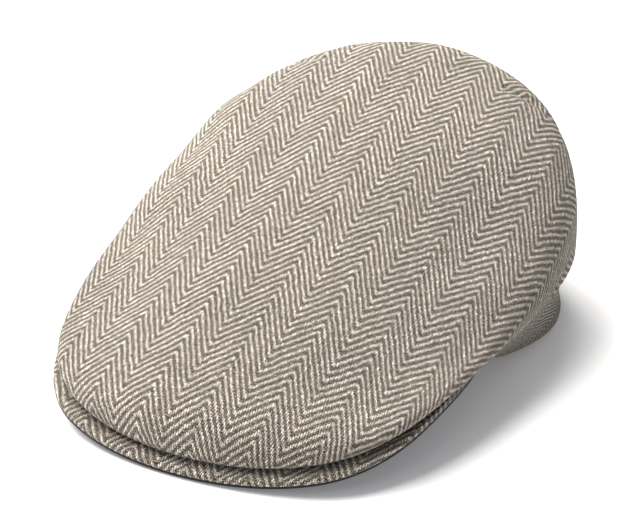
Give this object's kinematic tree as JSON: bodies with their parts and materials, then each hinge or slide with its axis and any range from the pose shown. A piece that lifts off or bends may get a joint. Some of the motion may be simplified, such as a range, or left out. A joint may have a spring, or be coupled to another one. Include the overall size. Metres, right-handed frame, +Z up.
{
  "type": "flat cap",
  "caption": "Flat cap in herringbone wool with a stiff peak, lying on a table; the front of its crown lifts off the peak.",
  "frame": {"origin": "middle of the bounding box, on the table that the cap lies on", "axes": "+Z up, the peak points to -Y, the wearer's left is +X"},
  "size_m": [0.2034, 0.2758, 0.1011],
  "materials": {
    "herringbone_wool": "matt",
    "under_peak_cotton": "matt",
    "canvas": "matt",
    "moulded_board": "matt",
    "satin_lining": "satin",
    "sweatband_leather": "satin",
    "foam": "matt",
    "woven_label": "satin",
    "snap_brass": "antique"
  },
  "bodies": {
    "cap": {"crown_back": "herringbone_wool", "crown_canvas_back": "canvas", "snap_stud": "snap_brass", "side_panel_left": "herringbone_wool", "side_panel_right": "herringbone_wool", "side_canvas_left": "canvas", "side_canvas_right": "canvas", "back_seam_tape": "canvas", "peak_top_cover": "herringbone_wool", "peak_board": "moulded_board", "peak_under_cover": "under_peak_cotton", "sweatband": "sweatband_leather", "forehead_pad": "foam", "size_label": "woven_label", "lining_top": "satin_lining", "lining_side_left": "satin_lining", "lining_side_right": "satin_lining", "lining_label": "woven_label"},
    "crown_flap": {"crown_front": "herringbone_wool", "crown_canvas_front": "canvas", "front_facing": "herringbone_wool", "snap_socket": "snap_brass"}
  },
  "joints": [
    {"name": "flap_lift", "type": "hinge", "parent": "cap", "child": "crown_flap", "pos_m": [0, -0.046, 0.0504], "axis": [-1, 0, 0], "range_deg": [0, 10]}
  ]
}
